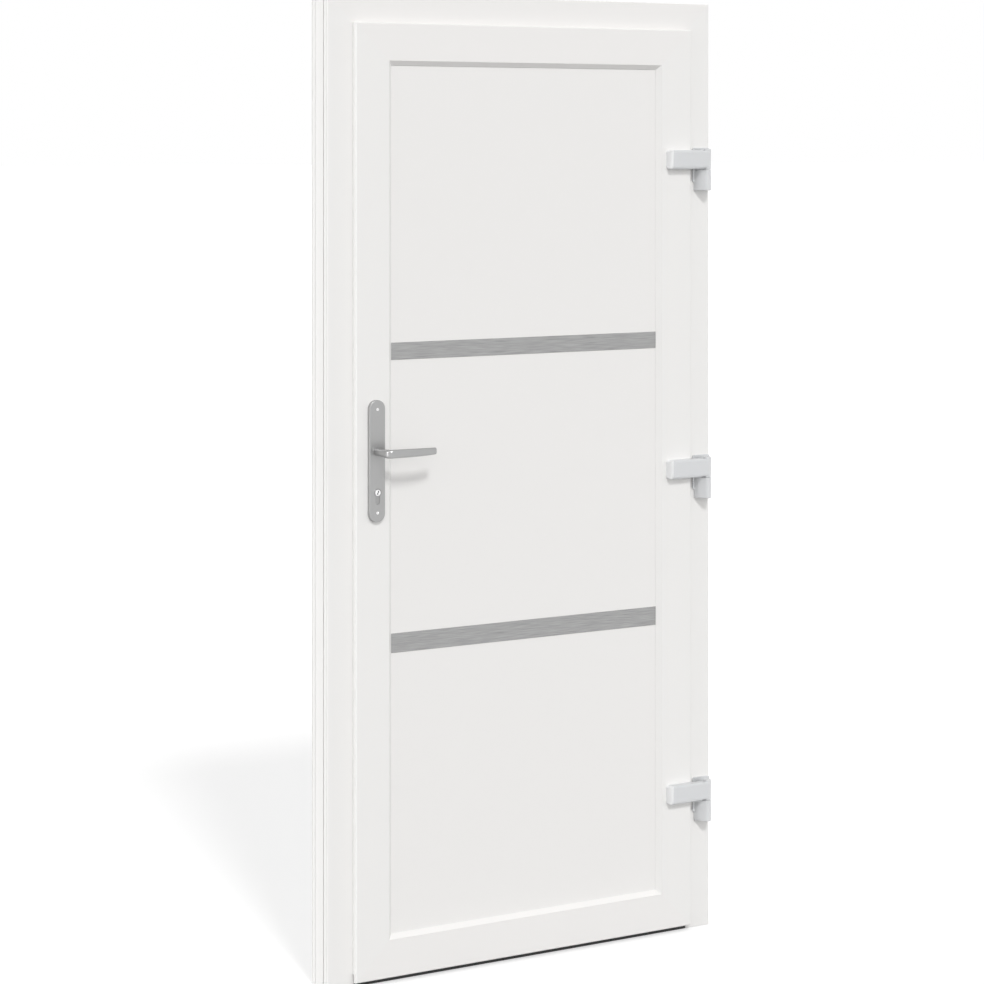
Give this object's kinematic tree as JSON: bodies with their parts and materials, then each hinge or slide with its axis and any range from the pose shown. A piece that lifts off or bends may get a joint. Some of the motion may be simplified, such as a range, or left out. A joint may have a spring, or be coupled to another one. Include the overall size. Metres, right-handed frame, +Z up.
{
  "type": "pvc front door",
  "caption": "White plastic front door in its frame, with a flat panel, brushed metal strips, a long-plate lever handle and adjustable hinges.",
  "frame": {"origin": "middle of the frame's underside, at the middle of its depth, where the door stands on the floor", "axes": "+X towards the hinge jamb, +Y towards the outside, +Z up"},
  "size_m": [0.98, 0.202, 2.08],
  "materials": {
    "white_pvc": "smooth satin-gloss white",
    "panel_white": "smooth satin white",
    "grey_seal": "matt",
    "threshold_black": "matt",
    "threshold_aluminium": "anodised satin",
    "brushed_strip": "brushed lengthwise",
    "satin_handle": "satin anodised silver",
    "cylinder_metal": "bright nickel",
    "plain_steel": "satin",
    "hinge_silver": "satin silver",
    "hinge_cap_plastic": "satin light grey"
  },
  "bodies": {
    "frame": {"frame_jamb_lock": "white_pvc", "frame_jamb_hinge": "white_pvc", "frame_head": "white_pvc", "threshold_base": "threshold_black", "threshold_cap": "threshold_aluminium", "frame_stop_seal": "grey_seal", "strike_plate": "plain_steel", "hinge_bracket_upper": "hinge_silver", "hinge_bracket_middle": "hinge_silver", "hinge_bracket_lower": "hinge_silver", "hinge_pins": "plain_steel"},
    "leaf": {"leaf_stile_lock": "white_pvc", "leaf_stile_hinge": "white_pvc", "leaf_rail_top": "white_pvc", "leaf_rail_bottom": "white_pvc", "bead_lock": "white_pvc", "bead_top": "white_pvc", "bead_hinge": "white_pvc", "bead_bottom": "white_pvc", "door_panel": "panel_white", "panel_gasket_inside": "grey_seal", "panel_gasket_outside": "grey_seal", "strip_upper_inside": "brushed_strip", "strip_lower_inside": "brushed_strip", "strip_upper_outside": "brushed_strip", "strip_lower_outside": "brushed_strip", "leaf_lip_seal": "grey_seal", "leaf_bottom_seal": "grey_seal", "backplate_inside": "satin_handle", "backplate_outside": "satin_handle", "lock_cylinder": "satin_handle", "lock_plugs": "cylinder_metal", "lock_faceplate": "plain_steel", "lock_latch": "plain_steel", "lock_bolt": "plain_steel", "hinge_knuckle_upper": "hinge_silver", "hinge_knuckle_middle": "hinge_silver", "hinge_knuckle_lower": "hinge_silver", "hinge_cover_upper": "hinge_silver", "hinge_cover_middle": "hinge_silver", "hinge_cover_lower": "hinge_silver", "hinge_end_caps": "hinge_cap_plastic"},
    "lever": {"lever_inside": "satin_handle", "lever_outside": "satin_handle", "lever_spindle": "plain_steel"}
  },
  "joints": [
    {"name": "leaf_swing", "type": "hinge", "parent": "frame", "child": "leaf", "pos_m": [0.469, -0.0585, 0], "axis": [0, 0, 1], "range_deg": [0, 115]},
    {"name": "lever_turn", "type": "hinge", "parent": "leaf", "child": "lever", "pos_m": [-0.3833, 0, 1.119], "axis": [0, 1, 0], "range_deg": [0, 40], "stiffness_Nm_per_rad": 1.2}
  ]
}
